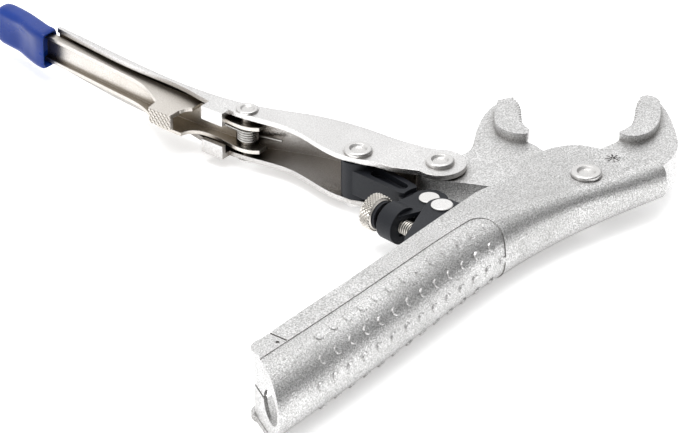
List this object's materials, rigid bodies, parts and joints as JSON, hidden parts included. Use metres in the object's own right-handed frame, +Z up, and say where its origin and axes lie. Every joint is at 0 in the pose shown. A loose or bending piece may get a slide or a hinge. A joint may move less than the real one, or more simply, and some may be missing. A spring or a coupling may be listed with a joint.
{
  "type": "locking pliers",
  "caption": "Self-adjusting locking pliers with curved serrated jaws, a toggle lever with a release lever, a ratchet slide and a knurled force screw.",
  "frame": {"origin": "centre of the bounding box in X and Y at the lowest point, with the tool lying open on its side as stored", "axes": "+X along the fixed handle towards the jaws, +Y towards the open lever's end, +Z up, across the tool and along every pivot"},
  "size_m": [0.261, 0.2841, 0.0285],
  "materials": {
    "nickel_sheet": "satin blasted nickel plate",
    "nickel_lever": "satin nickel plate",
    "nickel_jaw": "blasted nickel plate",
    "bright_pin": "bright plated",
    "rivet_steel": "satin",
    "black_oxide": "black oxide, slightly glossy",
    "spring_steel": "bright drawn wire",
    "screw_steel": "bright turned steel",
    "release_steel": "satin nickel with a warm tint inside",
    "rack_steel": "dark hardened steel",
    "blue_vinyl": "glossy dipped vinyl"
  },
  "bodies": {
    "handle_body": {"fixed_handle": "nickel_sheet", "fixed_jaw": "nickel_jaw", "jaw_stake_pins": "nickel_sheet", "jaw_pivot_rivet": "rivet_steel", "pivot_washers": "spring_steel", "ratchet_rack": "rack_steel", "rack_seat": "rack_steel", "spring_anchor": "bright_pin", "slide_spring": "spring_steel"},
    "jaw_body": {"movable_jaw": "nickel_jaw", "jaw_spring": "spring_steel"},
    "lever_body": {"main_lever": "nickel_lever", "lever_jaw_rivet": "rivet_steel", "lever_link_rivet": "rivet_steel", "lever_washers": "spring_steel", "release_rivet": "rivet_steel", "release_spring": "spring_steel"},
    "link_body": {"toggle_link": "black_oxide"},
    "release_body": {"release_lever": "release_steel", "grip_sleeve": "blue_vinyl"},
    "slide_body": {"slide_wedge": "black_oxide", "slide_pin": "bright_pin"},
    "carrier_body": {"screw_carrier": "black_oxide", "knuckle_pin": "bright_pin", "screw_spring": "spring_steel"},
    "collar_body": {"screw_collar": "black_oxide"},
    "screw_body": {"adjusting_screw": "screw_steel"}
  },
  "joints": [
    {"name": "lever_fold", "type": "hinge", "parent": "jaw_body", "child": "lever_body", "pos_m": [0.0359, -0.07485, 0.01425], "axis": [0, 0, 1], "range_deg": [0, 86], "stiffness_Nm_per_rad": 0.05, "springref_deg": -11.46},
    {"name": "jaw_close", "type": "hinge", "parent": "handle_body", "child": "jaw_body", "pos_m": [0.0628, -0.12295, 0.01425], "axis": [0, 0, 1], "range_deg": [-36.2, 0], "deforming": ["jaw_spring"]},
    {"name": "link_swing", "type": "hinge", "parent": "lever_body", "child": "link_body", "pos_m": [0.0216, -0.04705, 0.01425], "axis": [0, 0, 1], "range_deg": [-93.3, 0]},
    {"name": "release_pull", "type": "hinge", "parent": "lever_body", "child": "release_body", "pos_m": [0.0203, 0.00605, 0.01425], "axis": [0, 0, 1], "range_deg": [0, 7], "stiffness_Nm_per_rad": 0.05, "springref_deg": -5.73, "deforming": ["release_spring"]},
    {"name": "slide_travel", "type": "slide", "parent": "handle_body", "child": "slide_body", "axis": [1, 0, 0], "range_m": [-0.0076, 0], "deforming": ["slide_spring"]},
    {"name": "carrier_swing", "type": "hinge", "parent": "slide_body", "child": "carrier_body", "pos_m": [0.0119, -0.09445, 0.01425], "axis": [0, 0, 1], "range_deg": [0, 15.2]},
    {"name": "screw_advance", "type": "slide", "parent": "carrier_body", "child": "collar_body", "axis": [0.1097, 0.994, 0], "range_m": [0, 0.003], "deforming": ["screw_spring"]},
    {"name": "screw_turn", "type": "hinge", "parent": "collar_body", "child": "screw_body", "pos_m": [0.0039, -0.06735, 0.01425], "axis": [0.1097, 0.994, 0], "range_deg": [0, 1081]}
  ],
  "couplings": [
    {"joint": "jaw_close", "follows": "lever_fold", "ratio": -0.41861},
    {"joint": "link_swing", "follows": "lever_fold", "ratio": -1.0814},
    {"joint": "slide_travel", "follows": "lever_fold", "m_per_rad": -0.0049967},
    {"joint": "carrier_swing", "follows": "lever_fold", "ratio": 0.17442},
    {"joint": "screw_turn", "follows": "screw_advance", "rad_per_m": 6283.2}
  ]
}
